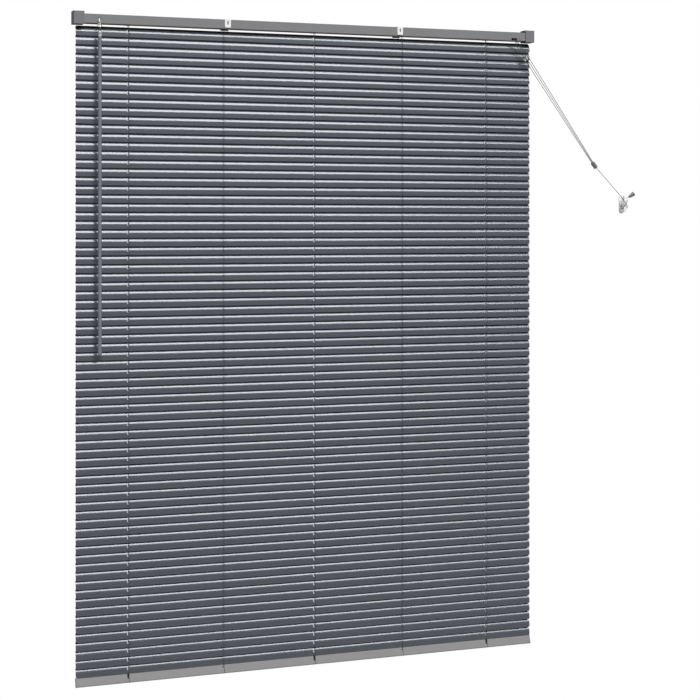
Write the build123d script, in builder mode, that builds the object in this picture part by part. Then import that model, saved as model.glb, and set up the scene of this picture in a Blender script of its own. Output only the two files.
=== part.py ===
"""Aluminium venetian blind, 1.2 m wide with a 1.6 m drop, closed, hung on two box brackets on a wall.

Millimetres. X runs along the rail, -Y comes out of the wall to the room, Z is up.
The origin is the middle of the four wall screws of the box brackets, on the wall's face.
"""

import os
from math import asin, atan, cos, pi, radians, sin, tan

from build123d import *

os.makedirs("parts", exist_ok=True)

# Box brackets and their front gates
bracket_span = 1210.0
bracket_width = 25.0
bracket_depth = 31.0
bracket_wall = 1.2
bracket_rib = 3.0
screw_radius = 2.25
screw_spacing = 14.0
gate_pin_radius = 1.0
gate_barrel_radius = 1.8
gate_gap = 0.3

# Headrail channel
rail_depth = 25.0
rail_height = 22.5
rail_wall = 0.7
rail_lip = 3.0
rail_corner = 1.5
rail_drop = 6.0
rail_under = 2.5
curtain_y = -16.0
plug_head = 1.5
plug_insert = 8.0

# Slats
slat_count = 74
slat_pitch = 20.79
slat_length = 1196.0
slat_width = 25.0
slat_crown = 1.9
slat_thickness = 0.2
slat_corner = 5.0
slat_tilt = 72.0
slot_length = 10.5
slot_width = 3.5
first_slat_gap = 16.0
group_count = 12

# Ladders and lift cords
ladder_step = 236.0
ladder_offset = 2.4
string_radius = 0.5
string_gap = 0.5
rung_radius = 0.35
cord_radius = 0.7
cord_end_gap = 0.3
lane_step = 3.6

# Bottom rail
bottom_narrower = 2.5
bottom_thickness = 8.5
bottom_wall = 0.8
bottom_corner = 2.5
bottom_tuck = 1.0
cord_notch = 4.0
cap_thickness = 3.0
crimp_radius = 2.2
crimp_length = 7.0

# Tilt drive: a single-start worm on a fourteen-tooth wheel
gear_module = 0.8
wheel_teeth = 14
wheel_width = 4.0
worm_pitch_radius = 2.8
worm_slope = 35.0
worm_x = -544.0
shaft_radius = 2.0
worm_slot_clear = 1.7
running_fit = 0.05
rod_flats = 5.0
rod_below_axis = -2.0
drum_radius = 6.0
drum_width = 8.0
journal_radius = 4.0
cradle_plate = 1.5

# Wand
wand_y = -34.0
wand_flats = 8.0
wand_length = 742.0
wand_head_radius = 4.2
wand_head_height = 14.0
wire_radius = 0.8
ring_radius = 4.5

# Cord lock, pull cords and wall cleat
lock_x = 548.0
lock_width = 34.0
guide_radius = 3.0
stop_share = 0.14
stop_spread = 7.4
stop_radius = 2.8
stop_length = 6.0
joiner_spread = 1.9
joiner_at = (782.0, -30.0, -332.5)
cleat_at = (880.0, 0.0, -434.5)
cleat_height = 50.0
cleat_width = 14.0
horn_width = 8.0
fit_gap = 0.1

# The tail's way round the cleat, from the cleat's middle: a figure of eight, then up to the tassel
wind = [
    (-6.6, -24.0, 14.0), (-6.6, -14.6, 13.5), (0.0, -9.0, 13.5), (6.6, -14.6, 12.5), (6.6, -24.6, 9.5),
    (0.0, -26.6, 0.0), (-6.6, -24.6, -9.5), (-6.6, -14.6, -12.5), (0.0, -9.0, -13.0), (6.6, -14.6, -12.5),
    (7.6, -22.0, -8.0), (8.5, -22.0, 4.0), (8.5, -22.0, 16.5), (14.0, -22.0, 20.0),
]

# Places worked out from the sizes above
bracket_height = rail_drop + rail_height + rail_under
bracket_top = bracket_height / 2
bracket_edge = bracket_span / 2
rail_top = bracket_top - rail_drop
rail_bottom = rail_top - rail_height
rail_floor = rail_bottom + rail_wall
rail_front = curtain_y - rail_depth / 2
rail_back = curtain_y + rail_depth / 2
rail_end = bracket_edge - bracket_wall - gate_gap - plug_head
inner_front = rail_front + rail_wall
inner_back = rail_back - rail_wall
first_slat_z = rail_bottom - first_slat_gap
last_slat_z = first_slat_z - slat_pitch * (slat_count - 1)
rod_z = rod_below_axis
ladder_places = [ladder_step * i for i in range(-2, 3)]
cord_places = [ladder_step * i for i in (-2, 0, 2)]

# Directions across a closed slat: along its width to the rear edge, and out of its convex face
tilt = radians(slat_tilt)
across = (0, cos(tilt), sin(tilt))
outward = (0, -sin(tilt), cos(tilt))

# The bottom rail hangs with its upper edge tucked just behind the last slat's lower edge
bottom_width = slat_width - bottom_narrower
slat_reach = slat_width / 2 * sin(tilt) + slat_crown * cos(tilt)
bottom_reach = bottom_width / 2 * sin(tilt) + bottom_thickness / 2 * cos(tilt)
bottom_z = last_slat_z - slat_reach - bottom_reach + bottom_tuck


def save(builder, name):
    """Label a finished sub-part and write its file."""
    builder.part.label = name
    export_step(builder.part, f"parts/{name}.step")


def on_slat(width_at, height_at, z):
    """Y and Z of a point given across a closed slat whose middle is at z."""
    y = curtain_y + width_at * across[1] + height_at * outward[1]
    return y, z + width_at * across[2] + height_at * outward[2]


def slat_z(index):
    return first_slat_z - slat_pitch * index


def block(x0, x1, y0, y1, z0, z1, mode=Mode.ADD):
    """A box between two corners, in the part being built."""
    with Locations(((x0 + x1) / 2, (y0 + y1) / 2, (z0 + z1) / 2)):
        Box(abs(x1 - x0), abs(y1 - y0), abs(z1 - z0), mode=mode)


def bar_x(radius, x0, x1, y, z, mode=Mode.ADD):
    """A round bar along X, in the part being built."""
    with Locations(((x0 + x1) / 2, y, z)):
        Cylinder(radius, abs(x1 - x0), rotation=(0, 90, 0), mode=mode)


def post_z(radius, z0, z1, x, y, mode=Mode.ADD):
    """A round post along Z, in the part being built."""
    with Locations((x, y, (z0 + z1) / 2)):
        Cylinder(radius, abs(z1 - z0), mode=mode)


def post_y(radius, y0, y1, x, z, mode=Mode.ADD):
    """A round post along Y, in the part being built."""
    with Locations((x, (y0 + y1) / 2, z)):
        Cylinder(radius, abs(y1 - y0), rotation=(90, 0, 0), mode=mode)


def tube(points, radius, bend):
    """A cord along straight runs with tangent arcs between them."""
    with BuildPart() as cord:
        with BuildLine() as route:
            if len(points) == 2:
                Line(*points)
            else:
                FilletPolyline(*points, radius=bend)
        with BuildSketch(Plane(origin=route.line @ 0, z_dir=route.line % 0)):
            Circle(radius)
        sweep(path=route.line)
    return cord.part


def flipped(part):
    """The same piece on the other side of the middle."""
    return part.mirror(Plane.YZ)


# Tilt drive geometry: the worm lies in the plane of its wheel and leans out to the wand
slope = radians(worm_slope)
worm_up = Vector(0, sin(slope), cos(slope))
worm_out = Vector(0, -cos(slope), sin(slope))
wheel_radius = gear_module * wheel_teeth / 2
thread_pitch = pi * gear_module
lead_angle = atan(thread_pitch / (2 * pi * worm_pitch_radius))
wheel_at = Vector(worm_x, curtain_y, rod_z)
worm_at = wheel_at + worm_out * (wheel_radius + worm_pitch_radius)
worm_plane = Plane(origin=worm_at, x_dir=-worm_out, z_dir=worm_up)
eye_drop = (worm_at.Y - wand_y) / sin(slope)
eye_z = worm_at.Z - eye_drop * cos(slope)
thread_low = -0.5 * thread_pitch
thread_high = 1.5 * thread_pitch
nose_from = thread_low - 3.3
thread_half = 0.475
eye_hole = 2.05
eye_plate = 1.2
flank = tan(radians(20))
shaft_at_wall = worm_at.Z - (worm_at.Y - inner_front) / tan(slope)
worm_slot_top = shaft_at_wall + shaft_radius / sin(slope) + worm_slot_clear

# Headrail: a steel channel, open at the top with two lips, slotted for the ladders and both controls
with BuildPart() as headrail:
    with BuildSketch(Plane.YZ) as channel:
        with Locations((curtain_y, (rail_top + rail_bottom) / 2)):
            Rectangle(rail_depth, rail_height)
        fillet(channel.vertices().group_by(Axis.Y)[0], rail_corner)
        with Locations((curtain_y, (rail_top + rail_floor) / 2 - rail_wall / 2)):
            Rectangle(rail_depth - 2 * rail_wall, rail_height - 2 * rail_wall, mode=Mode.SUBTRACT)
        with Locations((curtain_y, rail_top)):
            Rectangle(rail_depth - 2 * rail_lip, 4 * rail_wall, mode=Mode.SUBTRACT)
    extrude(amount=rail_end, both=True)
    for x in ladder_places:
        block(x - 6, x + 6, curtain_y - 9, curtain_y + 9, rail_bottom - 1, rail_floor + 1, Mode.SUBTRACT)
    block(
        worm_x - 4.5, worm_x + 4.5, rail_front - 1, rail_front + 7, rail_bottom - 1, worm_slot_top,
        Mode.SUBTRACT,
    )
    block(lock_x - 8, lock_x + 8, rail_front - 1, rail_front + 2, rail_floor, -6, Mode.SUBTRACT)
save(headrail, "headrail")

# Rail end plugs: plastic, pushed into both ends of the channel
with BuildPart() as end_plug:
    block(rail_end, rail_end + plug_head, rail_front, rail_back, rail_bottom, rail_top)
    block(
        rail_end - plug_insert, rail_end, inner_front + fit_gap, inner_back - fit_gap,
        rail_floor + fit_gap, rail_top - rail_wall - fit_gap,
    )
    block(
        rail_end - plug_insert - 1, rail_end - 1.5, inner_front + 2, inner_back - 2,
        rail_floor + 2, rail_top, Mode.SUBTRACT,
    )
    fillet(end_plug.edges().filter_by(Axis.X).group_by(Axis.Z)[0], 1.0)
with BuildPart() as rail_end_plugs:
    add(end_plug.part)
    add(flipped(end_plug.part))
save(rail_end_plugs, "rail_end_plugs")

# Box brackets: pressed steel boxes that the rail slides into, open to the front and to the middle
gate_y = -bracket_depth + gate_barrel_radius
gate_z = bracket_top - gate_barrel_radius - 1.0
bracket_inside = bracket_edge - bracket_width
gate_back = -bracket_depth + bracket_wall
with BuildPart() as bracket_right:
    block(bracket_edge - bracket_wall, bracket_edge, gate_back + gate_gap, 0, -bracket_top, bracket_top)
    block(bracket_inside, bracket_edge, -bracket_wall, 0, -bracket_top, bracket_top)
    block(bracket_inside, bracket_edge, gate_back + 5, 0, bracket_top - bracket_wall, bracket_top)
    block(bracket_inside, bracket_edge, gate_back + gate_gap, 0, -bracket_top, -bracket_top + bracket_wall)
    for y in (curtain_y - 8, curtain_y + 8):
        block(
            bracket_inside + 1, bracket_edge - bracket_wall, y - bracket_rib / 2, y + bracket_rib / 2,
            -bracket_top, rail_bottom,
        )
    for x in (bracket_inside, bracket_edge - bracket_wall):
        block(x, x + bracket_wall, gate_y - 1.6, gate_back + 6, gate_z - 1.6, bracket_top)
    bar_x(gate_pin_radius + 0.02, bracket_inside - 1, bracket_edge + 1, gate_y, gate_z, Mode.SUBTRACT)
    middle_x = bracket_edge - bracket_width / 2
    for z in (-screw_spacing / 2, screw_spacing / 2):
        post_y(screw_radius, -bracket_wall - 1, 1, middle_x, z, Mode.SUBTRACT)
    post_z(screw_radius, bracket_top - 2, bracket_top + 1, middle_x, curtain_y, Mode.SUBTRACT)
save(bracket_right, "bracket_right")

with BuildPart() as bracket_left:
    add(flipped(bracket_right.part))
save(bracket_left, "bracket_left")

# Front gates: plates that swing up on a pin at the top of each box bracket
with BuildPart() as gate_right:
    block(
        bracket_inside, bracket_edge, -bracket_depth, gate_back,
        -bracket_top + gate_gap, bracket_top - gate_gap,
    )
    fillet(gate_right.edges().filter_by(Axis.Y), 1.0)
    barrel = (bracket_inside + bracket_wall + gate_gap, bracket_edge - bracket_wall - gate_gap)
    bar_x(gate_barrel_radius, *barrel, gate_y, gate_z)
    block(*barrel, -bracket_depth, gate_y, gate_z - gate_barrel_radius, gate_z)
    for x in (bracket_inside - 1, bracket_edge - bracket_wall - gate_gap):
        block(
            x, x + bracket_wall + 1 + gate_gap, -bracket_depth - 1, gate_back + 1,
            gate_z - 1.6 - gate_gap - 0.4, bracket_top, Mode.SUBTRACT,
        )
    bar_x(gate_pin_radius + running_fit, bracket_inside, bracket_edge, gate_y, gate_z, Mode.SUBTRACT)
save(gate_right, "gate_right")

with BuildPart() as gate_left:
    add(flipped(gate_right.part))
save(gate_left, "gate_left")

# Gate hinge pins
with BuildPart() as gate_pin:
    bar_x(gate_pin_radius, bracket_inside - 0.4, bracket_edge + 0.4, gate_y, gate_z)
with BuildPart() as gate_pins:
    add(gate_pin.part)
    add(flipped(gate_pin.part))
save(gate_pins, "gate_pins")

# Centre brackets: white clips on the wall that hook over the rail's front
clip_x = 227.0
clip_width = 15.0
clip_wall = 1.5
with BuildPart() as clip:
    block(clip_x - 10, clip_x + 10, -clip_wall, 0, -bracket_top, rail_top + clip_wall)
    block(
        clip_x - clip_width / 2, clip_x + clip_width / 2, rail_front - clip_wall, 0,
        rail_top, rail_top + clip_wall,
    )
    with BuildSketch(Plane.XZ.offset(-rail_front)):
        with Locations((clip_x, rail_top + clip_wall - 10.5)):
            RectangleRounded(clip_width, 21, 1.2)
        with Locations((clip_x, rail_top - 8)):
            SlotOverall(9, 3.5, rotation=90, mode=Mode.SUBTRACT)
    extrude(amount=clip_wall)
    post_y(screw_radius, -clip_wall - 1, 1, clip_x, 0, Mode.SUBTRACT)
with BuildPart() as centre_brackets:
    add(clip.part)
    add(flipped(clip.part))
save(centre_brackets, "centre_brackets")

# Worm: thread, shaft and the flat eye that the wand's hook hangs in
with BuildPart() as worm_blank:
    post_z(worm_pitch_radius - 0.85, thread_low - 0.8, thread_high + 0.6, 0, 0)
    with BuildLine():
        helix = Helix(thread_pitch, thread_high - thread_low, worm_pitch_radius, (0, 0, thread_low))
    with BuildSketch(Plane(origin=helix @ 0, x_dir=(1, 0, 0), z_dir=(0, 1, 0))):
        with BuildLine():
            Polyline(
                (-1.0, thread_half + flank), (0.7, thread_half - 0.7 * flank),
                (0.7, -thread_half + 0.7 * flank), (-1.0, -thread_half - flank), close=True,
            )
        make_face()
    sweep(path=helix, is_frenet=True)
    post_z(shaft_radius + 0.6, nose_from + 0.3, nose_from + 1.0, 0, 0)
    post_z(shaft_radius, -eye_drop + 4.0, thread_low - 0.8, 0, 0)
    with BuildSketch(Plane.XZ.offset(-eye_plate / 2)):
        with Locations((0, -eye_drop)):
            Circle(eye_hole + 1.35)
        with Locations((0, -eye_drop + 2.5)):
            Rectangle(2 * shaft_radius, 5)
        with Locations((0, -eye_drop)):
            Circle(eye_hole, mode=Mode.SUBTRACT)
    extrude(amount=eye_plate)
with BuildPart() as tilter_worm:
    add(worm_blank.part.moved(worm_plane.location))
save(tilter_worm, "tilter_worm")

# Worm wheel: slanted teeth on a hub with a six-sided bore
with BuildPart() as worm_wheel:
    bar_x(wheel_radius - 0.9, worm_x - 4, worm_x + 4, curtain_y, rod_z)
    for k in range(wheel_teeth):
        turn = 2 * pi * k / wheel_teeth
        radial = worm_out * cos(turn) - worm_up * sin(turn)
        forward = Vector(1, 0, 0).cross(radial)
        trace = Vector(1, 0, 0) * cos(lead_angle) + forward * sin(lead_angle)
        with BuildSketch(Plane(origin=wheel_at, x_dir=radial, z_dir=trace)):
            with BuildLine():
                Polyline(
                    (wheel_radius - 1.2, -0.75), (wheel_radius + 0.6, -0.22),
                    (wheel_radius + 0.6, 0.22), (wheel_radius - 1.2, 0.75), close=True,
                )
            make_face()
        extrude(amount=wheel_width / 2, both=True)
    with BuildSketch(Plane.YZ.offset(worm_x)):
        with Locations((curtain_y, rod_z)):
            RegularPolygon(rod_flats / 2 + running_fit, 6, major_radius=False)
    extrude(amount=10, both=True, mode=Mode.SUBTRACT)
save(worm_wheel, "worm_wheel")

# Tilt rod: six-sided steel, from the tilter past the last drum
rod_start = worm_x - 26
rod_stop = ladder_places[-1] + 18
with BuildPart() as tilt_rod:
    with BuildSketch(Plane.YZ.offset(rod_start)):
        with Locations((curtain_y, rod_z)):
            RegularPolygon(rod_flats / 2, 6, major_radius=False)
    extrude(amount=rod_stop - rod_start)
save(tilt_rod, "tilt_rod")

# Tilter housing: an open plastic box in the rail with a bored nose for the worm's shaft
housing_half = 18.0
housing_top = rail_top - rail_wall - 0.8
with BuildPart() as tilter_housing:
    block(
        worm_x - housing_half, worm_x + housing_half, inner_front + fit_gap, inner_back - fit_gap,
        rail_floor, housing_top,
    )
    block(
        worm_x - housing_half + 1.5, worm_x + housing_half - 1.5, inner_front + 1.5, inner_back - 1.5,
        rail_floor + 1.5, housing_top + 1, Mode.SUBTRACT,
    )
    nose_to = (inner_front + fit_gap - worm_at.Y) / sin(slope)
    with BuildSketch(Plane(origin=worm_at + worm_up * nose_from, x_dir=(1, 0, 0), z_dir=-worm_up)):
        Circle(3.8)
    extrude(amount=nose_from - nose_to + 2)
    block(
        worm_x - 6, worm_x + 6, inner_front - 12, inner_front + fit_gap, rail_bottom - 9, housing_top,
        Mode.SUBTRACT,
    )
    with BuildSketch(Plane(origin=worm_at + worm_up * nose_from, x_dir=(1, 0, 0), z_dir=-worm_up)):
        Circle(shaft_radius + running_fit)
    extrude(amount=30, mode=Mode.SUBTRACT)
    with BuildSketch(Plane(origin=worm_at + worm_up * nose_from, x_dir=(1, 0, 0), z_dir=worm_up)):
        Circle(worm_pitch_radius + 1.1)
    extrude(amount=20, mode=Mode.SUBTRACT)
    bar_x(4.2, worm_x - housing_half - 1, worm_x - housing_half + 3, curtain_y, rod_z, Mode.SUBTRACT)
    bar_x(4.2, worm_x + housing_half - 3, worm_x + housing_half + 1, curtain_y, rod_z, Mode.SUBTRACT)
save(tilter_housing, "tilter_housing")

# Ladder drums: turned plastic, keyed on the rod, one over each ladder
drum_end = drum_width / 2
plate_at = drum_end + 0.5
with BuildPart() as drum:
    bar_x(drum_radius, -drum_end, drum_end, curtain_y, rod_z)
    bar_x(journal_radius, -plate_at - cradle_plate - 1, plate_at + cradle_plate + 1, curtain_y, rod_z)
    with BuildSketch(Plane.YZ):
        with Locations((curtain_y, rod_z)):
            RegularPolygon(rod_flats / 2 + running_fit, 6, major_radius=False)
    extrude(amount=20, both=True, mode=Mode.SUBTRACT)
with BuildPart() as ladder_drums:
    with Locations(*[(x, 0, 0) for x in ladder_places]):
        add(drum.part)
save(ladder_drums, "ladder_drums")

# Drum cradles: two bearing plates on a foot that fills the rail's slot
cord_z = rail_floor + 1.2 + 1.4
with BuildPart() as cradle:
    block(-9, 9, inner_front + fit_gap, inner_back - fit_gap, rail_floor, rail_floor + 1.2)
    block(-5.8, 5.8, curtain_y - 8.8, curtain_y + 8.8, rail_bottom - 0.6, rail_floor)
    for side in (-1, 1):
        block(
            side * plate_at, side * (plate_at + cradle_plate), curtain_y - 8, curtain_y + 8,
            rail_floor, rod_z + journal_radius + 2.5,
        )
    bar_x(journal_radius + running_fit, -10, 10, curtain_y, rod_z, Mode.SUBTRACT)
    block(-10, 10, curtain_y - 5.6, curtain_y + 5.6, rail_floor + 1.2, cord_z + 1.2, Mode.SUBTRACT)
    block(-3.6, 3.6, curtain_y - 7.6, curtain_y + 7.9, rail_bottom - 2, rail_floor + 2, Mode.SUBTRACT)
with BuildPart() as drum_cradles:
    with Locations(*[(x, 0, 0) for x in ladder_places]):
        add(cradle.part)
save(drum_cradles, "drum_cradles")

# Cord lock: an open body in the rail with a guide post and a cam that nips the cords
lock_left = lock_x - lock_width / 2
lock_roof = cord_z + 4.0
turn_x = lock_x - 7.5
turn_y = curtain_y - 7.5
cam_x = lock_x + 11.0
cam_y = curtain_y - 4.0
cam_radius = 4.6
cam_throw = 1.7
pivot_radius = 1.2
with BuildPart() as cord_lock_body:
    block(
        lock_left, lock_left + lock_width, inner_front + fit_gap, inner_back - fit_gap,
        rail_floor, lock_roof + 1.2,
    )
    block(
        lock_left - 1, lock_left + lock_width - 1.5, inner_front - 1, inner_back - 1.6,
        rail_floor + 1.0, lock_roof, Mode.SUBTRACT,
    )
    post_z(guide_radius + 0.02, rail_floor + 0.3, lock_roof + 2, turn_x, turn_y, Mode.SUBTRACT)
    post_z(pivot_radius + 0.02, rail_floor + 0.3, lock_roof + 2, cam_x, cam_y, Mode.SUBTRACT)
save(cord_lock_body, "cord_lock_body")

# Fixed pins of the cord lock
with BuildPart() as cord_lock_pins:
    post_z(guide_radius, rail_floor + 0.3, lock_roof + 1.2, turn_x, turn_y)
    post_z(pivot_radius, rail_floor + 0.3, lock_roof + 1.2, cam_x, cam_y)
save(cord_lock_pins, "cord_lock_pins")

# Lock cam: an eccentric toothed disc on its pivot
with BuildPart() as cord_lock_cam:
    with BuildSketch(Plane.XY.offset(rail_floor + 1.3)):
        with Locations((cam_x - cam_throw, cam_y)):
            Circle(cam_radius)
            with PolarLocations(cam_radius + 0.1, 24):
                Circle(0.35, mode=Mode.SUBTRACT)
        with Locations((cam_x, cam_y)):
            Circle(pivot_radius + running_fit, mode=Mode.SUBTRACT)
    extrude(amount=lock_roof - rail_floor - 1.6)
save(cord_lock_cam, "cord_lock_cam")

# Slats: thin crowned aluminium with rounded corners; three carry the lift cords through slots
crown_radius = ((slat_width / 2) ** 2 + slat_crown**2) / (2 * slat_crown)
half_angle = asin(slat_width / 2 / crown_radius)
inner_radius = crown_radius - slat_thickness
inner_half = inner_radius * sin(half_angle)
inner_edge = -slat_crown - slat_thickness * cos(half_angle)
with BuildPart() as slat:
    with BuildSketch(Plane.YZ):
        with BuildLine():
            outer = RadiusArc((-slat_width / 2, -slat_crown), (slat_width / 2, -slat_crown), crown_radius)
            inner = RadiusArc((-inner_half, inner_edge), (inner_half, inner_edge), inner_radius)
            Line(outer @ 0, inner @ 0)
            Line(outer @ 1, inner @ 1)
        make_face()
    extrude(amount=slat_length / 2, both=True)
    with BuildSketch(Plane.XY.offset(-slat_crown - 1)):
        RectangleRounded(slat_length, slat_width, slat_corner)
    extrude(amount=slat_crown + 2, mode=Mode.INTERSECT)
    with BuildSketch(Plane.XY.offset(-slat_crown - 1)):
        with Locations(*[(x, 0) for x in cord_places]):
            SlotOverall(slot_length, slot_width, rotation=90)
    extrude(amount=slat_crown + 2, mode=Mode.SUBTRACT)

# The slats are handed over in groups that rise together, the first groups one slat longer
extra = slat_count % group_count
group_sizes = [slat_count // group_count + (1 if g < extra else 0) for g in range(group_count)]
group_starts = [sum(group_sizes[:g]) for g in range(group_count)]
for g in range(group_count):
    members = range(group_starts[g], group_starts[g] + group_sizes[g])
    planes = [Plane(origin=(0, curtain_y, slat_z(i)), x_dir=(1, 0, 0), z_dir=outward) for i in members]
    with BuildPart() as slats:
        with Locations(*[plane.location for plane in planes]):
            add(slat.part)
    save(slats, f"slats_{g + 1:02d}")

# Ladders: a front and a rear string joined by a rung behind each slat
edge_front = on_slat(-slat_width / 2, -slat_crown, 0)
edge_rear = on_slat(slat_width / 2, -slat_crown, 0)
front_y = edge_front[0] - string_gap - string_radius
rear_y = edge_rear[0] + string_gap + string_radius
rung_back = -slat_crown - slat_thickness - string_gap - rung_radius
rung_bend = on_slat(-slat_width / 2 + 0.2, rung_back, 0)
rung_rear_z = rung_bend[1] + (rear_y - rung_bend[0]) * tan(tilt)
rung_front_z = edge_front[1] - 2.1
front_cut = rung_front_z - 2.0
rear_cut = rung_rear_z + 2.0 - slat_pitch
drum_reach = drum_radius + string_radius + fit_gap
run_front_z = cord_z + 3.7
run_rear_z = cord_z + 1.7

# The last strings stop short of the bottom rail's front face and of its rounded rear corner
face_reach = bottom_thickness / 2 + cord_end_gap - (curtain_y - front_y - string_radius) * sin(tilt)
front_end_z = bottom_z + face_reach / cos(tilt)
corner_at = on_slat(bottom_width / 2 - bottom_corner, bottom_corner - bottom_thickness / 2, bottom_z)
rear_end_z = corner_at[1] + (bottom_corner + cord_end_gap + string_radius) * sin(pi / 4)
with BuildPart() as rung:
    add(tube(
        [(0, front_y, rung_front_z), (0, *rung_bend), (0, rear_y, rung_rear_z)], rung_radius, 1.0,
    ))

for g in range(group_count):
    top = slat_z(group_starts[g])
    low = slat_z(group_starts[g] + group_sizes[g] - 1)
    front_top = (0, front_y, top + slat_pitch + front_cut - gate_gap)
    rear_top = (0, rear_y, top + slat_pitch + rear_cut - gate_gap)
    front_low = (0, front_y, low + front_cut)
    rear_low = (0, rear_y, low + rear_cut)
    if g == group_count - 1:
        front_low = (0, front_y, front_end_z)
        rear_low = (0, rear_y, rear_end_z)
    front_route = [front_low, front_top]
    rear_route = [rear_low, rear_top]
    if g == 0:
        front_route = [
            front_low, (0, front_y, rail_bottom - 2),
            (0, curtain_y - drum_reach, run_front_z), (0, curtain_y - drum_reach, rod_z),
        ]
        rear_route = [
            rear_low, (0, rear_y, rail_bottom - 2),
            (0, curtain_y + drum_reach, run_rear_z), (0, curtain_y + drum_reach, rod_z),
        ]
    with BuildPart() as ladder:
        add(tube(front_route, string_radius, 2.0))
        add(tube(rear_route, string_radius, 2.0))
        with Locations(*[(0, 0, slat_z(group_starts[g] + i)) for i in range(group_sizes[g])]):
            add(rung.part)
    with BuildPart() as ladders:
        with Locations(*[(x + ladder_offset, 0, 0) for x in ladder_places]):
            add(ladder.part)
    save(ladders, f"ladders_{g + 1:02d}")

# Lift cords: from the lock along the rail, down through the slats, to a crimp inside the bottom rail
lanes = {cord_places[0]: -lane_step, cord_places[1]: lane_step, cord_places[2]: 0.0}
exits = {place: turn_x + (curtain_y + lanes[place] - turn_y) for place in cord_places}
with BuildPart() as lift_cords:
    for place in cord_places:
        lane_y = curtain_y + lanes[place]
        arc = exits[place] - turn_x
        in_rail = [(exits[place], inner_front + 3, cord_z), (exits[place], lane_y, cord_z)]
        if lanes[place]:
            in_rail.append((place + 14, lane_y, cord_z))
        down = [
            (place, curtain_y, cord_z),
            (place, curtain_y, bottom_z + crimp_radius + cord_end_gap),
        ]
        with BuildLine() as turning:
            start = Line(in_rail[0], (exits[place], turn_y, cord_z))
            bend = RadiusArc(start @ 1, (turn_x, lane_y, cord_z), -arc)
            FilletPolyline(bend @ 1, *in_rail[2:], *down, radius=0.9)
        with BuildSketch(Plane(origin=turning.line @ 0, z_dir=turning.line % 0)):
            Circle(cord_radius)
        sweep(path=turning.line)
save(lift_cords, "lift_cords")

# Lift-cord crimps: short barrels on the bottom rail's own turning axis
with BuildPart() as lift_cord_crimps:
    for place in cord_places:
        bar_x(crimp_radius, place - crimp_length / 2, place + crimp_length / 2, curtain_y, bottom_z)
save(lift_cord_crimps, "lift_cord_crimps")

# Bottom rail: a closed steel section, tilted with the slats, notched for the cords and holed for the plugs
bottom_plane = Plane(origin=(0, curtain_y, bottom_z), x_dir=across, z_dir=(1, 0, 0))
bottom_face = Plane(origin=(0, curtain_y, bottom_z), x_dir=(1, 0, 0), z_dir=outward)
bottom_half = slat_length / 2 - cap_thickness
plug_radius = 4.0
with BuildPart() as bottom_rail:
    with BuildSketch(bottom_plane):
        RectangleRounded(bottom_width, bottom_thickness, bottom_corner)
        RectangleRounded(
            bottom_width - 2 * bottom_wall, bottom_thickness - 2 * bottom_wall, bottom_corner - bottom_wall,
            mode=Mode.SUBTRACT,
        )
    extrude(amount=bottom_half, both=True)
    with BuildSketch(bottom_face):
        with Locations(*[(x, (bottom_width / 2 + 1 - cord_notch / 2) / 2) for x in cord_places]):
            Rectangle(cord_notch, bottom_width / 2 + 1 + cord_notch / 2)
        with Locations(*[(x, 4.0) for x in ladder_places if x not in cord_places]):
            Circle(1.5)
    extrude(amount=bottom_thickness, mode=Mode.SUBTRACT)
    with BuildSketch(bottom_face):
        with Locations(*[(x, 0) for x in ladder_places]):
            Circle(plug_radius + fit_gap)
    extrude(amount=-bottom_thickness, mode=Mode.SUBTRACT)
save(bottom_rail, "bottom_rail")

# Bottom rail end caps
with BuildPart() as end_cap:
    with BuildSketch(bottom_plane.offset(bottom_half)):
        RectangleRounded(bottom_width + 0.6, bottom_thickness + 0.6, bottom_corner + 0.3)
    extrude(amount=cap_thickness)
    fillet(end_cap.faces().sort_by(Axis.X)[-1].edges(), 0.8)
    with BuildSketch(bottom_plane.offset(bottom_half)):
        inset = 2 * bottom_wall + 2 * fit_gap
        RectangleRounded(
            bottom_width - inset, bottom_thickness - inset, bottom_corner - bottom_wall - fit_gap,
        )
    extrude(amount=-6)
with BuildPart() as bottom_caps:
    add(end_cap.part)
    add(flipped(end_cap.part))
save(bottom_caps, "bottom_caps")

# Plugs: round buttons pressed into the underside of the bottom rail, over the cord ends
with BuildPart() as bottom_plugs:
    with BuildSketch(bottom_face.offset(-bottom_thickness / 2)):
        with Locations(*[(x, 0) for x in ladder_places]):
            Circle(plug_radius)
    extrude(amount=1.7)
    with BuildSketch(bottom_face.offset(-bottom_thickness / 2)):
        with Locations(*[(x, 0) for x in ladder_places]):
            Circle(plug_radius + 1.4)
    extrude(amount=-1.2)
save(bottom_plugs, "bottom_plugs")

# Wand hook: a wire ring through the worm's eye, a shank, and a bored foot for the wand's pin
pin_z = eye_z - 21.4
head_top = pin_z + 3.5
with BuildPart() as wand_hook:
    with Locations((worm_x, wand_y, eye_z - ring_radius)):
        Torus(ring_radius, wire_radius, rotation=(90, 0, 0))
    post_z(wire_radius + 0.1, pin_z + 1.8, eye_z - 2 * ring_radius, worm_x, wand_y)
    bar_x(2.6, worm_x - 1.1, worm_x + 1.1, wand_y, pin_z)
    bar_x(gate_pin_radius + running_fit, worm_x - 3, worm_x + 3, wand_y, pin_z, Mode.SUBTRACT)
save(wand_hook, "wand_hook")

# Wand head: a sleeve with a slot and cross pin above, and a socket for the rod below
head_low = head_top - wand_head_height
spigot_radius = 2.5
spigot_length = 4.5
with BuildPart() as wand_head:
    post_z(wand_head_radius, head_low, head_top, worm_x, wand_y)
    fillet(wand_head.edges().filter_by(GeomType.CIRCLE), 0.6)
    block(worm_x - 1.4, worm_x + 1.4, wand_y - 6, wand_y + 6, pin_z - 4, head_top + 1, Mode.SUBTRACT)
    bar_x(gate_pin_radius, worm_x - 2, worm_x + 2, wand_y, pin_z)
    post_z(
        spigot_radius + running_fit, head_low - 1, head_low + spigot_length + 0.3, worm_x, wand_y,
        Mode.SUBTRACT,
    )
save(wand_head, "wand_head")

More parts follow.
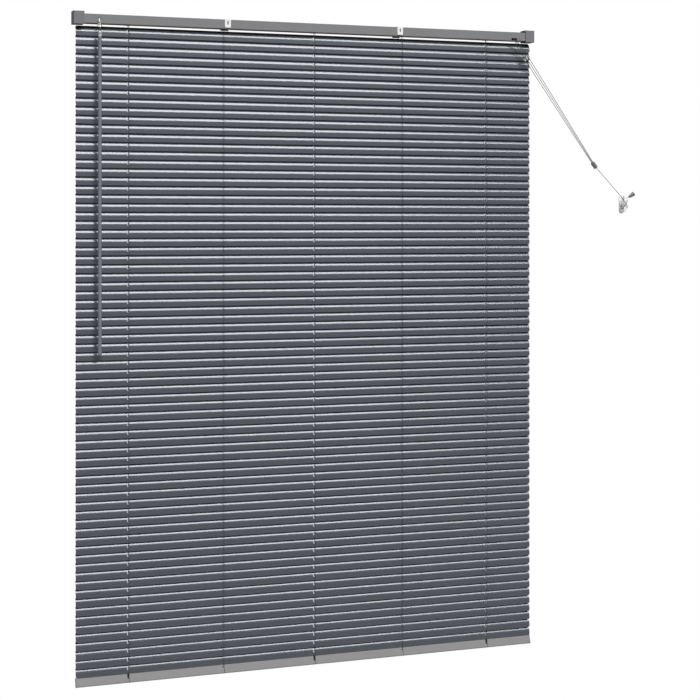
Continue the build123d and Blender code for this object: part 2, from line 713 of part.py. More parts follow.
# Wand rod: six-sided, with a round spigot in the head and another in the tip
rod_low = head_low - wand_length
with BuildPart() as wand_rod:
    with BuildSketch(Plane.XY.offset(rod_low)):
        with Locations((worm_x, wand_y)):
            RegularPolygon(wand_flats / 2, 6, major_radius=False)
    extrude(amount=wand_length)
    fillet(wand_rod.edges().filter_by(Axis.Z), 0.5)
    post_z(spigot_radius, head_low - 1, head_low + spigot_length, worm_x, wand_y)
    post_z(spigot_radius, rod_low - spigot_length, rod_low + 1, worm_x, wand_y)
save(wand_rod, "wand_rod")

# Wand tip: a rounded end piece
tip_height = 9.5
with BuildPart() as wand_tip:
    post_z(wand_flats / 2 + 0.8, rod_low - tip_height, rod_low, worm_x, wand_y)
    fillet(wand_tip.edges().group_by(Axis.Z)[0], 3.0)
    post_z(
        spigot_radius + running_fit, rod_low - spigot_length - 0.3, rod_low + 1, worm_x, wand_y,
        Mode.SUBTRACT,
    )
save(wand_tip, "wand_tip")

# Pull cords: from the lock's front, spread a little at the stops, to the joiner, pulled tight
front_of_rail = rail_front - 2.6
joiner_radius = 5.5
joiner_length = 18.0
joiner = Vector(*joiner_at)
cleat = Vector(*cleat_at)
lock_exit = Vector(lock_x, front_of_rail, cord_z)
wrap_from = cleat + Vector(*wind[0])
down_cords = (joiner - lock_exit).normalized()
joiner_way = (down_cords + (wrap_from - joiner).normalized()).normalized()
joiner_side = joiner_way.cross(Vector(0, 1, 0)).normalized()
joiner_top = joiner - joiner_way * (joiner_length / 2 - 2)
stop_middle = lock_exit + (joiner_top - lock_exit) * stop_share
stop_runs = []
for place in cord_places:
    lane = lanes[place] / lane_step
    stop_at = stop_middle + joiner_side * (lane * stop_spread)
    low_end = joiner_top + joiner_side * (lane * joiner_spread)
    cord_route = [(exits[place], inner_front + 2.8, cord_z), (exits[place], front_of_rail, cord_z)]
    if lane:
        cord_route.append(tuple(stop_at))
    cord_route.append(tuple(low_end))
    stop_runs.append((stop_at, (low_end - stop_at).normalized()))
    with BuildPart() as pull_cord:
        add(tube(cord_route, cord_radius, 1.6))
    save(pull_cord, f"pull_cord_{len(stop_runs)}")

# Cord stops: a bead on each of the three cords, side by side
with BuildPart() as cord_stops:
    for stop_at, way in stop_runs:
        with BuildSketch(Plane(origin=stop_at + way, z_dir=way)):
            Circle(stop_radius)
            Circle(cord_radius + 0.15, mode=Mode.SUBTRACT)
        extrude(amount=stop_length)
save(cord_stops, "cord_stops")

# Cord joiner: a barrel that the three cords enter and one cord leaves
joiner_plane = Plane(origin=joiner - joiner_way * joiner_length / 2, x_dir=joiner_side, z_dir=joiner_way)
with BuildPart() as cord_joiner:
    with BuildSketch(joiner_plane):
        Circle(joiner_radius)
    extrude(amount=joiner_length)
    fillet(cord_joiner.edges().filter_by(GeomType.CIRCLE), 1.2)
    with BuildSketch(joiner_plane):
        SlotOverall(2 * (joiner_spread + cord_radius) + 2.6, 2 * cord_radius + 1.6)
    extrude(amount=3.4, mode=Mode.SUBTRACT)
    with BuildSketch(joiner_plane.offset(joiner_length)):
        Circle(cord_radius + 0.4)
    extrude(amount=-3.4, mode=Mode.SUBTRACT)
save(cord_joiner, "cord_joiner")

# Wall cleat: a foot on the wall, a post, and two horns that the cord is wound on
cleat_foot = 3.0
horn_back = -16.0
horn_front = -24.0
cleat_screw_spacing = 36.0
with BuildPart() as cleat_body:
    with BuildSketch(Plane.XZ):
        with Locations((cleat.X, cleat.Z)):
            SlotOverall(cleat_height, cleat_width, rotation=90)
    extrude(amount=cleat_foot)
    post_y(5.0, horn_back, -cleat_foot + 0.5, cleat.X, cleat.Z)
    with BuildSketch(Plane.YZ.offset(cleat.X)):
        with BuildLine():
            back = ThreePointArc(
                (horn_back - 4, cleat.Z - 22), (horn_back, cleat.Z), (horn_back - 4, cleat.Z + 22),
            )
            front = ThreePointArc(
                (horn_back - 7, cleat.Z - 22), (horn_front, cleat.Z), (horn_back - 7, cleat.Z + 22),
            )
            Line(back @ 0, front @ 0)
            Line(back @ 1, front @ 1)
        make_face()
    extrude(amount=horn_width / 2, both=True)
    for z in (-cleat_screw_spacing / 2, cleat_screw_spacing / 2):
        post_y(2.0, -cleat_foot - 1, 1, cleat.X, cleat.Z + z, Mode.SUBTRACT)
save(cleat_body, "wall_cleat")

# Tail cord: from the joiner, in a figure of eight round the horns, and up to the tassel
tail_from = joiner + joiner_way * (joiner_length / 2 - 3.0)
tail_route = [tuple(tail_from)] + [tuple(cleat + Vector(*point)) for point in wind]
with BuildPart() as pull_cord_tail:
    add(tube(tail_route, cord_radius, 2.5))
save(pull_cord_tail, "pull_cord_tail")

# Tassel: a small bell on the end of the tail
tassel_end = Vector(*tail_route[-1])
tassel_way = (tassel_end - Vector(*tail_route[-2])).normalized()
tassel_plane = Plane(
    origin=tassel_end - tassel_way * 2.0, x_dir=(0, 1, 0), z_dir=(tassel_way.Z, 0, -tassel_way.X),
)
with BuildPart() as tassel:
    with BuildSketch(tassel_plane):
        with BuildLine():
            Polyline((1.0, 0), (3.2, 0), (6.2, 16), (0, 16), (0, 2.4), (1.0, 2.4), close=True)
        make_face()
    revolve(axis=Axis(tuple(tassel_end), tuple(tassel_way)))
save(tassel, "tassel")
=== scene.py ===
import math

import bpy
from mathutils import Matrix, Vector


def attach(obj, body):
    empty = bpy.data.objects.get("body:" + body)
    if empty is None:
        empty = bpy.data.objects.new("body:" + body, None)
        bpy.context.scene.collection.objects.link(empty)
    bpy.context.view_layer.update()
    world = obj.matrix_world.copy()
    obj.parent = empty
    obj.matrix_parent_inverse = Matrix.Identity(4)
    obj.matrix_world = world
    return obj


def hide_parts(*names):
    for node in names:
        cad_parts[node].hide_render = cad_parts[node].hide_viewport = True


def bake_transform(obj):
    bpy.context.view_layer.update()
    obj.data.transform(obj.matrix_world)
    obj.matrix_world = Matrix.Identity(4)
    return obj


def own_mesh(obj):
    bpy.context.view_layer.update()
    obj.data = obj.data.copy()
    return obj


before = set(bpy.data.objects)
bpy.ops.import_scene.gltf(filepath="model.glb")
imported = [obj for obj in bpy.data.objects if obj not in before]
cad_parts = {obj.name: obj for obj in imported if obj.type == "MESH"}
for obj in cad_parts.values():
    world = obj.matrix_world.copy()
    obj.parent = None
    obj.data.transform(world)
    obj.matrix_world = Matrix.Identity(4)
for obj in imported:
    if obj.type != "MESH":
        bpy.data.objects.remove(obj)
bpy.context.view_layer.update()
bpy.ops.object.select_all(action="DESELECT")


# Headrail: a roll-formed steel channel with two lips turned in at the top, open above, and baked
# in a satin grey coat. It lies on the ribs of the two box brackets and holds both drives.
def own_copy(node, name, edge):
    """A piece of its own from a frame node: merged, its flats made whole and its edges eased."""
    piece = bpy.data.objects.new(name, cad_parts[node].data.copy())
    bpy.context.scene.collection.objects.link(piece)
    piece.data.materials.clear()
    bpy.context.view_layer.objects.active = piece
    piece.select_set(True)
    if piece.data.has_custom_normals:
        bpy.ops.mesh.customdata_custom_splitnormals_clear()
    bpy.ops.object.mode_set(mode="EDIT")
    bpy.ops.mesh.select_all(action="SELECT")
    bpy.ops.mesh.remove_doubles(threshold=0.00001)
    bpy.ops.mesh.dissolve_limited(angle_limit=math.radians(0.5))
    bpy.ops.object.mode_set(mode="OBJECT")
    if edge:
        ease = piece.modifiers.new("eased_edges", "BEVEL")
        ease.width = edge
        ease.segments = 2
        ease.limit_method = "ANGLE"
        ease.angle_limit = math.radians(40)
        bpy.ops.object.modifier_apply(modifier=ease.name)
    bpy.ops.object.shade_smooth_by_angle(angle=math.radians(32))
    flats = piece.modifiers.new("true_flats", "WEIGHTED_NORMAL")
    flats.keep_sharp = True
    bpy.ops.object.modifier_apply(modifier=flats.name)
    piece.select_set(False)
    return piece


def seat(piece, body, *nodes):
    """The piece moves with its body and stands for its frame nodes."""
    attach(piece, body)
    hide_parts(*nodes)


def surface_group(name):
    """A new shader group with a colour and sizes in, and colour, roughness and height out."""
    group = bpy.data.node_groups.new(name, "ShaderNodeTree")
    group.interface.new_socket("Colour", in_out="INPUT", socket_type="NodeSocketColor")
    for label in ("Roughness", "Tone", "Grain"):
        group.interface.new_socket(label, in_out="INPUT", socket_type="NodeSocketFloat")
    group.interface.new_socket("Colour", in_out="OUTPUT", socket_type="NodeSocketColor")
    for label in ("Roughness", "Height"):
        group.interface.new_socket(label, in_out="OUTPUT", socket_type="NodeSocketFloat")
    return group, group.nodes.new("NodeGroupInput"), group.nodes.new("NodeGroupOutput")


def feed(group, socket, source):
    """A socket takes another node's output or a plain number."""
    if isinstance(source, float):
        socket.default_value = source
    else:
        group.links.new(source, socket)


def pattern(group, kind, scale):
    """A texture laid on the piece's own coordinates."""
    texture = group.nodes.new(kind)
    place = group.nodes.new("ShaderNodeTexCoord")
    feed(group, texture.inputs["Vector"], place.outputs["Object"])
    feed(group, texture.inputs["Scale"], scale)
    return texture


def worked_out(group, operation, *sources):
    """One step of arithmetic on sockets and numbers."""
    step = group.nodes.new("ShaderNodeMath")
    step.operation = operation
    for socket, source in zip(step.inputs, sources):
        feed(group, socket, source)
    return step.outputs[0]


def tone_by(group, given, result, share):
    """Colour and roughness rise and fall with a share of about zero, as much as the tone says."""
    spread = worked_out(group, "MULTIPLY_ADD", share, given.outputs["Tone"], 1.0)
    tint = group.nodes.new("ShaderNodeVectorMath")
    tint.operation = "SCALE"
    feed(group, tint.inputs[0], given.outputs["Colour"])
    feed(group, tint.inputs["Scale"], spread)
    feed(group, result.inputs["Colour"], tint.outputs[0])
    worn = worked_out(group, "MULTIPLY", given.outputs["Roughness"], spread)
    feed(group, result.inputs["Roughness"], worn)


baked_coat, given, result = surface_group("baked_coat")
cloudy = pattern(baked_coat, "ShaderNodeTexNoise", 9.0)
cloudy.inputs["Detail"].default_value = 3.0
peel = pattern(baked_coat, "ShaderNodeTexNoise", given.outputs["Grain"])
peel.inputs["Detail"].default_value = 2.0
specks = pattern(baked_coat, "ShaderNodeTexNoise", 1400.0)
tone_by(baked_coat, given, result, worked_out(baked_coat, "SUBTRACT", cloudy.outputs["Fac"], 0.5))
skin_height = worked_out(baked_coat, "MULTIPLY_ADD", specks.outputs["Fac"], 0.25, peel.outputs["Fac"])
feed(baked_coat, result.inputs["Height"], skin_height)


def finish(name, group, colour, roughness, tone, grain, height, metallic=0.0, coat=0.0, specular=0.5):
    """A material whose colour, roughness and bump come from a surface group."""
    material = bpy.data.materials.new(name)
    material.use_nodes = True
    tree = material.node_tree
    shader = tree.nodes["Principled BSDF"]
    skin = tree.nodes.new("ShaderNodeGroup")
    skin.node_tree = group
    skin.inputs["Colour"].default_value = (*colour, 1.0)
    skin.inputs["Roughness"].default_value = roughness
    skin.inputs["Tone"].default_value = tone
    skin.inputs["Grain"].default_value = grain
    bump = tree.nodes.new("ShaderNodeBump")
    bump.inputs["Strength"].default_value = 0.35
    bump.inputs["Distance"].default_value = height
    tree.links.new(skin.outputs["Height"], bump.inputs["Height"])
    tree.links.new(skin.outputs["Colour"], shader.inputs["Base Color"])
    tree.links.new(skin.outputs["Roughness"], shader.inputs["Roughness"])
    tree.links.new(bump.outputs["Normal"], shader.inputs["Normal"])
    shader.inputs["Metallic"].default_value = metallic
    shader.inputs["Coat Weight"].default_value = coat
    shader.inputs["Specular IOR Level"].default_value = specular
    return material


rail_coat = finish("rail_coat", baked_coat, (0.190, 0.191, 0.196), 0.42, 0.10, 900.0, 0.00002)
headrail = own_copy("headrail", "headrail_channel", 0.00012)
headrail.data.materials.append(rail_coat)
seat(headrail, "head", "headrail")

# Rail end plugs: two caps of injection-moulded grey plastic. Each is pushed into an end of the channel
# and covers its cut edge.
moulded, given, result = surface_group("moulded_plastic")
flow = pattern(moulded, "ShaderNodeTexNoise", 30.0)
spark = pattern(moulded, "ShaderNodeTexVoronoi", given.outputs["Grain"])
tone_by(moulded, given, result, worked_out(moulded, "SUBTRACT", flow.outputs["Fac"], 0.5))
feed(moulded, result.inputs["Height"], spark.outputs["Distance"])

grey_plastic = finish("grey_plastic", moulded, (0.16, 0.16, 0.165), 0.5, 0.15, 2200.0, 0.00003)
end_plugs = own_copy("rail_end_plugs", "rail_plugs", 0.0002)
end_plugs.data.materials.append(grey_plastic)
seat(end_plugs, "head", "rail_end_plugs")

# Box brackets, their swinging gates and the gates' pins: pressed steel in the rail's grey coat,
# screwed to the wall. The rail slides in from the front and each gate drops shut on its pin.
bracket_coat = finish("bracket_coat", baked_coat, (0.165, 0.161, 0.174), 0.45, 0.14, 800.0, 0.00003)
bright_steel = finish(
    "bright_steel", baked_coat, (0.55, 0.55, 0.56), 0.3, 0.1, 1500.0, 0.00001, metallic=1.0,
)
for side in ("left", "right"):
    box_bracket = own_copy(f"bracket_{side}", f"box_bracket_{side}", 0.00018)
    box_bracket.data.materials.append(bracket_coat)
    seat(box_bracket, "head", f"bracket_{side}")
    gate = own_copy(f"gate_{side}", f"front_gate_{side}", 0.00018)
    gate.data.materials.append(bracket_coat)
    seat(gate, f"gate_{side}", f"gate_{side}")
pins = own_copy("gate_pins", "gate_hinge_pins", 0.0001)
pins.data.materials.append(bright_steel)
seat(pins, "head", "gate_pins")

# Centre brackets: white-coated clips screwed to the wall, whose slotted tongues hook down over
# the front of the rail.
white_coat = finish("white_coat", baked_coat, (0.78, 0.78, 0.77), 0.4, 0.05, 700.0, 0.00002)
clips = own_copy("centre_brackets", "centre_clips", 0.0002)
clips.data.materials.append(white_coat)
seat(clips, "head", "centre_brackets")

# Tilt drive: moulded worm, wheel and drums, a drawn steel rod and moulded cradles. They sit in
# the channel, and the worm's eye comes out at its lower front corner.
pale_nylon = finish("pale_nylon", moulded, (0.62, 0.62, 0.59), 0.45, 0.08, 1800.0, 0.00002)
for node, name, body, material in (
    ("tilter_housing", "tilter_case", "head", grey_plastic),
    ("tilter_worm", "tilter_worm_shaft", "worm", pale_nylon),
    ("worm_wheel", "tilter_wheel", "tilt_shaft", pale_nylon),
    ("tilt_rod", "tilt_bar", "tilt_shaft", bright_steel),
    ("ladder_drums", "drums", "tilt_shaft", pale_nylon),
    ("drum_cradles", "cradles", "head", grey_plastic),
):
    drive = own_copy(node, name, 0.00008)
    drive.data.materials.append(material)
    seat(drive, body, node)

# Cord lock: a moulded body with steel pins and a toothed cam that nips the lift cords. It sits on the
# channel's floor, and the cords leave it through the opening in the rail's front.
for node, name, body, material in (
    ("cord_lock_body", "lock_body", "head", grey_plastic),
    ("cord_lock_pins", "lock_pins", "head", bright_steel),
    ("cord_lock_cam", "lock_cam", "lock_cam", bright_steel),
):
    lock = own_copy(node, name, 0.00008)
    lock.data.materials.append(material)
    seat(lock, body, node)

# Slats: thin aluminium strip, rolled to a soft crown with rounded corners and stoved in a dark grey
# satin coat. Three slots in each let the lift cords through. They lie on the rungs, tilted shut.
slat_length, slat_width, slat_crown, slat_thickness = 1.196, 0.025, 0.0019, 0.0002
slat_pitch, first_slat, curtain_y = 0.02079, -0.029, -0.016
slat_corner, slot_length, slot_width, slot_round = 0.005, 0.0105, 0.0035, 0.00174
slat_tilt = math.radians(72.0)
crown_rise, crown_round, slat_spare = 0.00215, 0.003, 0.0006
cutter_height = 0.02
cord_places = (-0.472, 0.0, 0.472)
group_sizes = [7, 7, 6, 6, 6, 6, 6, 6, 6, 6, 6, 6]
across = Vector((0, math.cos(slat_tilt), math.sin(slat_tilt)))
outward = Vector((0, -math.sin(slat_tilt), math.cos(slat_tilt)))

bpy.ops.object.select_all(action="DESELECT")
bpy.ops.mesh.primitive_grid_add(x_subdivisions=1, y_subdivisions=2, size=1)
slat = bpy.context.object
slat.scale = (slat_length + slat_spare, slat_width + 2 * slat_spare, 1)
bpy.ops.object.transform_apply(location=True, rotation=True, scale=True)
bpy.ops.object.mode_set(mode="EDIT")
bpy.ops.mesh.select_mode(type="VERT")
bpy.ops.mesh.select_all(action="DESELECT")
bpy.ops.object.mode_set(mode="OBJECT")
for point in slat.data.vertices:
    point.select = abs(point.co.y) > slat_width / 4
bpy.ops.object.mode_set(mode="EDIT")
bpy.ops.transform.translate(value=(0, 0, -slat_crown - crown_rise * slat_spare / (slat_width / 2)))
bpy.ops.mesh.select_all(action="INVERT")
bpy.ops.transform.translate(value=(0, 0, crown_rise - slat_crown))
bpy.ops.mesh.select_mode(type="EDGE")
bpy.ops.mesh.bevel(offset=crown_round, segments=6, affect="EDGES")
bpy.ops.object.mode_set(mode="OBJECT")
sheet = slat.modifiers.new("sheet", "SOLIDIFY")
sheet.thickness = slat_thickness
sheet.offset = -1.0
bpy.ops.object.modifier_apply(modifier=sheet.name)


def corner_rounded(size, radius, place):
    """A block with its four upright corners rounded, as a cutting shape."""
    bpy.ops.object.select_all(action="DESELECT")
    bpy.ops.mesh.primitive_cube_add(size=1, location=place)
    cutter = bpy.context.object
    cutter.scale = size
    bpy.ops.object.transform_apply(location=True, rotation=True, scale=True)
    bpy.ops.object.mode_set(mode="EDIT")
    bpy.ops.mesh.select_all(action="DESELECT")
    bpy.ops.object.mode_set(mode="OBJECT")
    for edge in cutter.data.edges:
        low, high = (cutter.data.vertices[v].co for v in edge.vertices)
        edge.select = abs(low.z - high.z) > cutter_height / 2
    bpy.ops.object.mode_set(mode="EDIT")
    bpy.ops.mesh.select_mode(type="EDGE")
    bpy.ops.mesh.bevel(offset=radius, segments=6, affect="EDGES")
    bpy.ops.object.mode_set(mode="OBJECT")
    return cutter


outline = corner_rounded((slat_length, slat_width, cutter_height), slat_corner, (0, 0, 0))
slots = [
    corner_rounded((slot_width, slot_length, cutter_height), slot_round, (x, 0, 0)) for x in cord_places
]
bpy.ops.object.select_all(action="DESELECT")
slat.select_set(True)
bpy.context.view_layer.objects.active = slat
for cutter, work in [(outline, "INTERSECT")] + [(s, "DIFFERENCE") for s in slots]:
    cut = slat.modifiers.new("cut", "BOOLEAN")
    cut.object = cutter
    cut.operation = work
    bpy.ops.object.modifier_apply(modifier=cut.name)
    bpy.data.objects.remove(cutter)
bpy.ops.object.shade_smooth_by_angle(angle=math.radians(30))

slat_coat = finish(
    "slat_coat", baked_coat, (0.078, 0.085, 0.098), 0.19, 0.10, 700.0, 0.000002, specular=0.72,
)
slat_coat.node_tree.nodes["Principled BSDF"].inputs["Specular Tint"].default_value = (0.92, 0.95, 1.0, 1.0)
slat.data.materials.append(slat_coat)

start_of_group = [sum(group_sizes[:g]) for g in range(len(group_sizes))]
slat_middles = [Vector((0, curtain_y, first_slat - slat_pitch * i)) for i in range(sum(group_sizes))]
group_of = [g for g, size in enumerate(group_sizes) for _ in range(size)]


def turn_with_slat(piece):
    """The piece's placement is baked into its own mesh, which then stands at the world origin."""
    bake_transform(piece)


for i, middle in enumerate(slat_middles):
    turned = Matrix((
        (1, 0, 0, 0),
        (0, across.y, outward.y, middle.y),
        (0, across.z, outward.z, middle.z),
        (0, 0, 0, 1),
    ))
    blade = bpy.data.objects.new(f"slat_{i + 1:02d}", slat.data.copy())
    bpy.context.scene.collection.objects.link(blade)
    blade.data.transform(turned)
    turn_with_slat(blade)
    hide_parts(f"slats_{group_of[i] + 1:02d}")
bpy.data.objects.remove(slat)

# Ladders: five ladders of braided polyester cord, each with a front and a rear string and a thin rung
# under every slat. The strings' tops stay in the rail, on the drums. At the foot the front strings lie
# over the bottom rail's face and the rear ones end at its back edge.
braided, given, result = surface_group("braided_cord")
strands = pattern(braided, "ShaderNodeTexVoronoi", given.outputs["Grain"])
raised = worked_out(braided, "SUBTRACT", 0.5, strands.outputs["Distance"])
tone_by(braided, given, result, raised)
feed(braided, result.inputs["Height"], raised)
dark_braid = finish("dark_braid", braided, (0.045, 0.046, 0.050), 0.75, 0.6, 1900.0, 0.0002, specular=0.3)

bottom_z = -1.570158
ladder_x = [x + 0.0024 for x in (-0.472, -0.236, 0.0, 0.236, 0.472)]
front_string, rear_string = -0.01905, -0.00933
front_join, rear_join, join_gap = 0.01658, 0.00781, 0.0003
string_radius, rung_radius = 0.0005, 0.00035
string_sides, rung_sides = 8, 6


def drawn_at_ladders(name, route, radius, sides):
    """Five like lengths of cord, one at each ladder, drawn along a way given in Y and Z."""
    lengths = []
    for x in ladder_x:
        bpy.ops.object.select_all(action="DESELECT")
        bpy.ops.mesh.primitive_circle_add(
            vertices=sides, radius=radius, fill_type="NGON", location=(x, *route[0]),
        )
        lengths.append(bpy.context.object)
        bpy.ops.object.mode_set(mode="EDIT")
        bpy.ops.mesh.select_mode(type="FACE")
        bpy.ops.mesh.select_all(action="SELECT")
        for here, there in zip(route, route[1:]):
            step = (0, there[0] - here[0], there[1] - here[1])
            bpy.ops.mesh.extrude_region_move(TRANSFORM_OT_translate={"value": step})
        bpy.ops.mesh.select_all(action="SELECT")
        bpy.ops.mesh.normals_make_consistent(inside=False)
        bpy.ops.object.mode_set(mode="OBJECT")
    for length in lengths:
        length.select_set(True)
    bpy.context.view_layer.objects.active = lengths[0]
    bpy.ops.object.join()
    bpy.ops.object.transform_apply(location=True, rotation=True, scale=True)
    bpy.ops.object.shade_smooth_by_angle(angle=math.radians(60))
    cords = bpy.context.object
    cords.name = name
    cords.data.materials.append(dark_braid)
    cords.select_set(False)
    return cords


for g, size in enumerate(group_sizes):
    group = f"{g + 1:02d}"
    top = first_slat - slat_pitch * start_of_group[g]
    low = top - slat_pitch * (size - 1)
    above = top + slat_pitch - join_gap
    front_route = [(front_string, low - front_join), (front_string, above - front_join)]
    rear_route = [(rear_string, low - rear_join), (rear_string, above - rear_join)]
    if g == len(group_sizes) - 1:
        front_route = [
            (-0.02327, -1.57935), (-0.02342, -1.57795), (-0.02328, -1.57703), (-0.01937, -1.56500),
            (front_string, bottom_z + 0.00694),
        ] + front_route[1:]
        rear_route[0] = (rear_string, bottom_z + 0.0101)
    if g == 0:
        front_route[1:] = [(front_string, z) for z in (-0.032, -0.024, -0.0148)]
        rear_route[1:] = [(rear_string, z) for z in (-0.026, -0.020, -0.0148)]
        front_top = [(front_string, -0.0147), (-0.0208, -0.0105), (-0.0226, -0.006), (-0.0226, -0.002)]
        rear_top = [(rear_string, -0.0147), (rear_string, -0.0125), (-0.0094, -0.008), (-0.0094, -0.002)]
        for name, route in (("front_string_tops", front_top), ("rear_string_tops", rear_top)):
            seat(drawn_at_ladders(name, route, string_radius, string_sides), "head", "ladders_01")
    front = drawn_at_ladders(f"front_strings_{group}", front_route, string_radius, string_sides)
    rear = drawn_at_ladders(f"rear_strings_{group}", rear_route, string_radius, string_sides)
    if g == 0:
        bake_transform(front)
        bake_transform(rear)
    else:
        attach(front, f"slats_{group}")
        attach(rear, f"ladders_{group}")
    for strings in (front, rear):
        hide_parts(f"ladders_{group}")

rung_route = [(front_string, -0.01458), (-0.017, -0.01261), (-0.01317, -0.00082), (rear_string, 0.01098)]
rung_set = drawn_at_ladders("rung_set", rung_route, rung_radius, rung_sides)
for i, middle in enumerate(slat_middles):
    rungs = bpy.data.objects.new(f"rungs_{i + 1:02d}", rung_set.data.copy())
    bpy.context.scene.collection.objects.link(rungs)
    rungs.data.transform(Matrix.Translation((0, 0, middle.z)))
    turn_with_slat(rungs)
    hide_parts(f"ladders_{group_of[i] + 1:02d}")
bpy.data.objects.remove(rung_set)

# Lift cords and their crimps: three braided cords from the lock along the channel and down through
# the slots, each crimped in a short steel barrel on the bottom rail's turning axis.
cord_z, raised_share = -0.0097, 0.1093
lift_cords = own_copy("lift_cords", "lift_cord_runs", 0)
lift_cords.data.materials.append(dark_braid)
seat(lift_cords, "head", "lift_cords")
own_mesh(lift_cords)
dark_steel = finish("dark_steel", baked_coat, (0.05, 0.05, 0.055), 0.5, 0.1, 1500.0, 0.00001, metallic=0.6)
crimps = own_copy("lift_cord_crimps", "cord_crimps", 0.0003)
crimps.data.materials.append(dark_steel)
seat(crimps, "lift_ends", "lift_cord_crimps")

# Bottom rail: a closed steel section in the grey coat that pulls the curtain straight, notched for the
# lift cords, with moulded caps pushed into its ends and round plugs over the cord ends behind.
bottom_coat = finish("bottom_coat", baked_coat, (0.215, 0.214, 0.214), 0.45, 0.12, 800.0, 0.00002)
for node, name, edge, material in (
    ("bottom_rail", "bottom_section", 0.00015, bottom_coat),
    ("bottom_caps", "bottom_end_caps", 0.0002, bottom_coat),
    ("bottom_plugs", "bottom_button_plugs", 0.0003, grey_plastic),
):
    bottom = own_copy(node, name, edge)
    bottom.data.materials.append(material)
    seat(bottom, "bottom_rail", node)

# Wand: a drawn six-sided rod of clear grey plastic between a moulded sleeve and a rounded tip. The
# sleeve is pinned to a bent wire hook that hangs in the worm's eye.
smoke_plastic = finish(
    "smoke_plastic", moulded, (0.185, 0.197, 0.222), 0.28, 0.06, 500.0, 0.00001, coat=0.3,
)
sleeve_plastic = finish("sleeve_plastic", moulded, (0.46, 0.47, 0.48), 0.35, 0.08, 1500.0, 0.00002)
for node, name, body, edge, material in (
    ("wand_hook", "wand_wire_hook", "wand_hook", 0, bright_steel),
    ("wand_head", "wand_sleeve", "wand", 0.0002, sleeve_plastic),
    ("wand_rod", "wand_stick", "wand", 0.0001, smoke_plastic),
    ("wand_tip", "wand_end", "wand", 0.0001, smoke_plastic),
):
    wand = own_copy(node, name, edge)
    wand.data.materials.append(material)
    seat(wand, body, node)

# Stops, joiner and tassel: small mouldings threaded on the pull cords. A bead keeps each cord from
# running back into the lock, the joiner gathers three cords into one, and the tassel ends it.
on_cords = {}
for node, name, edge, material in (
    ("cord_stops", "stop_beads", 0.0006, sleeve_plastic),
    ("cord_joiner", "joiner_barrel", 0.0002, grey_plastic),
    ("tassel", "tassel_bell", 0.0004, grey_plastic),
):
    on_cords[node] = own_copy(node, name, edge)
    on_cords[node].data.materials.append(material)
    seat(on_cords[node], "head", node)

# Pull cords: the same three braided cords where they leave the lock, spread at the beads and drawn
# tight to the joiner, and the single tail wound in a figure of eight on the cleat.
cord_width, rail_front = 0.0014, -0.0285


def tight_cord(name, node, points):
    """A round cord on a smooth line through its turning points."""
    line = bpy.data.curves.new(name, "CURVE")
    line.dimensions = "3D"
    line.bevel_depth = cord_width / 2
    line.bevel_resolution = 3
    line.use_fill_caps = True
    line.resolution_u = 12
    run = line.splines.new("NURBS")
    run.points.add(len(points) - 1)
    for point, at in zip(run.points, points):
        point.co = (*at, 1.0)
    run.order_u = 3
    run.use_endpoint_u = True
    cord = bpy.data.objects.new(name, line)
    bpy.context.scene.collection.objects.link(cord)
    line.materials.append(dark_braid)
    seat(cord, "head", node)
    return cord


for number, exit_x, bend, bead, joined in (
    (1, 0.5444, (0.54969, -0.0311, -0.01618), (0.5745, -0.031, -0.05904), (0.775974, -0.030176, -0.328466)),
    (2, 0.5516, (0.55729, -0.0311, -0.01622), (0.5857, -0.031, -0.04934), (0.778842, -0.030176, -0.325972)),
    (3, 0.5480, (0.55321, -0.03109, -0.01629), None, (0.777408, -0.030176, -0.327219)),
):
    turns = [(exit_x, -0.025, cord_z), (exit_x, -0.0311, cord_z), bend, bead, joined]
    cord = tight_cord(f"pull_line_{number}", f"pull_cord_{number}", [t for t in turns if t])

cleat_at = Vector((0.88, 0.0, -0.4345))
winding = (
    (-0.0066, -0.0240, 0.0140), (-0.0066, -0.0146, 0.0135), (0.0, -0.0090, 0.0135),
    (0.0066, -0.0146, 0.0125), (0.0066, -0.0246, 0.0095), (0.0, -0.0266, 0.0),
    (-0.0066, -0.0246, -0.0095), (-0.0066, -0.0146, -0.0125), (0.0, -0.0090, -0.0130),
    (0.0066, -0.0146, -0.0125), (0.0070, -0.0256, -0.0095), (0.0, -0.0284, 0.0004),
    (-0.0070, -0.0262, 0.0108), (-0.0072, -0.0150, 0.0152), (0.0, -0.0092, 0.0152),
    (0.0072, -0.0150, 0.0150), (0.0085, -0.0220, 0.0165), (0.0140, -0.0220, 0.0200),
)
tail_start = (0.785936, -0.029849, -0.337026)
tail = tight_cord("pull_tail", "pull_cord_tail", [tail_start] + [cleat_at + Vector(w) for w in winding])

# Wall cleat: one moulding of clear plastic, a foot with a post and two horns for the tail. Two screws
# hold the foot to the wall.
clear_plastic = finish("clear_plastic", moulded, (0.82, 0.83, 0.84), 0.25, 0.05, 900.0, 0.00001, coat=0.3)
cleat_body = own_copy("wall_cleat", "cleat_horns", 0.0006)
cleat_body.data.materials.append(clear_plastic)
seat(cleat_body, "head", "wall_cleat")

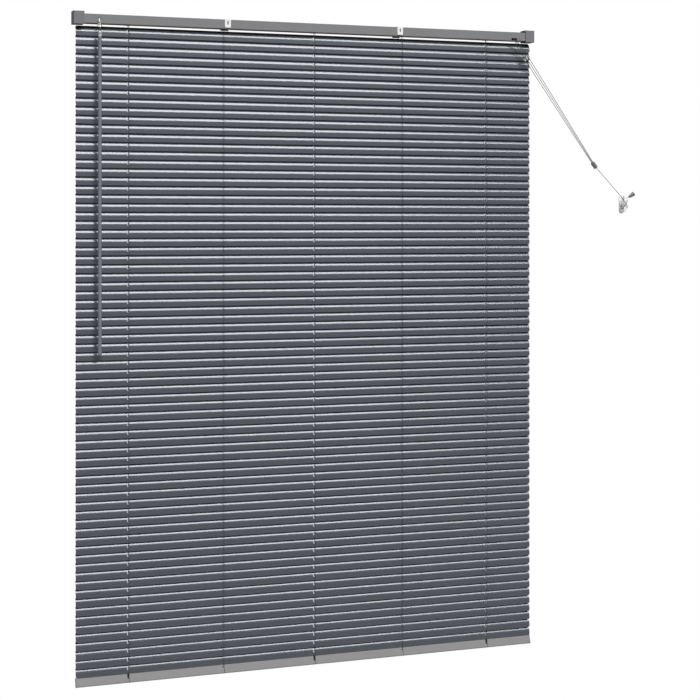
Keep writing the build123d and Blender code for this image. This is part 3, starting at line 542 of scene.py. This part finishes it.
# Stage and light: a pale floor well below the blind, one broad far panel high in front, and
# weaker ones at the left and behind.
bpy.ops.mesh.primitive_plane_add(size=1, location=(0, -0.6, -2.6))
floor = bpy.context.object
floor.name = "studio_floor"
floor.scale = (4.0, 3.0, 1)
floor_paint = bpy.data.materials.new("floor_paint")
floor_paint.use_nodes = True
floor_shader = floor_paint.node_tree.nodes["Principled BSDF"]
floor_shader.inputs["Base Color"].default_value = (0.8, 0.8, 0.8, 1)
floor_shader.inputs["Roughness"].default_value = 0.8
floor.data.materials.append(floor_paint)


def panel(name, place, turn, width, height, radiance):
    """A soft square lamp, as bright over its face as it is told to be."""
    lamp = bpy.data.lights.new(name, "AREA")
    lamp.shape = "RECTANGLE"
    lamp.size, lamp.size_y = width, height
    lamp.energy = radiance * math.pi * width * height
    body = bpy.data.objects.new(name, lamp)
    bpy.context.scene.collection.objects.link(body)
    body.location = place
    body.rotation_euler = turn


panel("front_panel", (2.3, -12.0, 14.6), (math.pi / 2, 0, 0), 13.4, 14.8, 12.5)
panel("left_panel", (-6.0, 1.4, 4.5), (math.radians(51), 0, math.radians(-104)), 3.0, 3.0, 11.0)
panel("back_panel", (0.5, 6.0, 4.5), (math.radians(-48), 0, 0), 6.0, 4.0, 3.0)

world = bpy.data.worlds.new("studio")
bpy.context.scene.world = world
world.use_nodes = True
nodes, links = world.node_tree.nodes, world.node_tree.links
air = nodes["Background"]
air.inputs["Color"].default_value = (0.9, 0.93, 1.0, 1)
air.inputs["Strength"].default_value = 0.04
white = nodes.new("ShaderNodeBackground")
white.inputs["Color"].default_value = (1, 1, 1, 1)
rays = nodes.new("ShaderNodeLightPath")
seen = nodes.new("ShaderNodeMixShader")
links.new(rays.outputs["Is Camera Ray"], seen.inputs[0])
links.new(air.outputs[0], seen.inputs[1])
links.new(white.outputs[0], seen.inputs[2])
links.new(seen.outputs[0], nodes["World Output"].inputs["Surface"])

# Camera: level, to the left of the blind and a third of the way down it, with a long lens. The frame is
# shifted down, so that the whole blind shows and its sides stay upright.
view = bpy.data.cameras.new("view")
view.lens = 88.8
view.sensor_width = 36.0
view.shift_y = -0.184
camera = bpy.data.objects.new("view", view)
bpy.context.scene.collection.objects.link(camera)
camera.location = (-1.464, -4.049, -0.4804)
camera.rotation_euler = (math.radians(90), 0, math.radians(-21.15))
bpy.context.scene.camera = camera
bpy.context.scene.view_settings.view_transform = "Standard"
